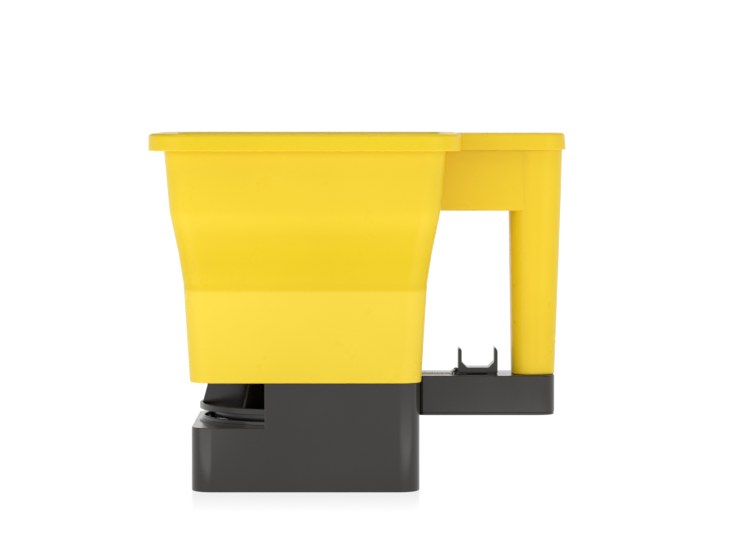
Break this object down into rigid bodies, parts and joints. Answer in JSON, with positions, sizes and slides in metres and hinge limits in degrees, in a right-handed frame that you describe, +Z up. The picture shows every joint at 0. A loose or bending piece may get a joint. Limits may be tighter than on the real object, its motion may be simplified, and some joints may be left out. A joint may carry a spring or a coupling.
{
  "type": "hand-held rotary spreader",
  "caption": "Hand-held crank spreader: square tub with a built-in post handle on a gear housing, a vaned disc in the open front and a finger slider that works the shutter.",
  "frame": {"origin": "middle of the housing's footprint, on the floor it stands on", "axes": "-X is the front, where the disc throws; +X is towards the handle; +Y is the crank's side; +Z is up"},
  "size_m": [0.2784, 0.2085, 0.238],
  "materials": {
    "yellow": "satin injection-moulded polypropylene",
    "black": "satin injection-moulded, near black",
    "dark": "satin injection-moulded, near black",
    "acetal": "natural white moulded gear and bush plastic",
    "seal": "matt",
    "steel": "zinc plated",
    "screw": "zinc plated"
  },
  "bodies": {
    "housing": {"hopper": "yellow", "handle": "yellow", "base_housing": "black", "disc_guard": "black", "bottom_cover": "black", "arm_shell": "black", "arm_cover": "black", "chute_plate": "black", "deck_bush": "acetal", "floor_seal": "seal", "crank_bush": "acetal", "thrust_washer": "steel", "base_screws": "screw", "hopper_screws": "screw", "chute_screws": "screw", "arm_screws": "screw", "arm_cover_screws": "screw", "post_screw": "screw"},
    "impeller": {"impeller": "dark", "impeller_shaft": "steel", "impeller_pin": "steel", "pinion": "acetal", "agitator": "dark", "agitator_clip": "steel"},
    "crank": {"crank_axle": "steel", "crown_gear": "acetal", "gear_screw": "screw", "crank_arm": "dark", "crank_screw": "screw", "knob_pin": "steel"},
    "crank_knob": {"crank_knob": "dark", "knob_cap": "dark"},
    "shutter": {"shutter_plate": "black", "shutter_rod": "steel", "finger_slider": "black", "slider_keeper": "black", "keeper_screw": "screw"}
  },
  "joints": [
    {"name": "crank_spin", "type": "hinge", "parent": "housing", "child": "crank", "pos_m": [-0.013, 0.066, 0.0205], "axis": [0, 1, 0], "continuous": true},
    {"name": "impeller_spin", "type": "hinge", "parent": "housing", "child": "impeller", "pos_m": [-0.013, 0, 0.0508], "axis": [0, 0, 1], "continuous": true},
    {"name": "knob_spin", "type": "hinge", "parent": "crank", "child": "crank_knob", "pos_m": [-0.013, 0.095, 0.0785], "axis": [0, 1, 0], "continuous": true},
    {"name": "shutter_slide", "type": "slide", "parent": "housing", "child": "shutter", "axis": [-1, 0, 0], "range_m": [0, 0.018]}
  ],
  "couplings": [
    {"joint": "impeller_spin", "follows": "crank_spin", "ratio": -3}
  ]
}
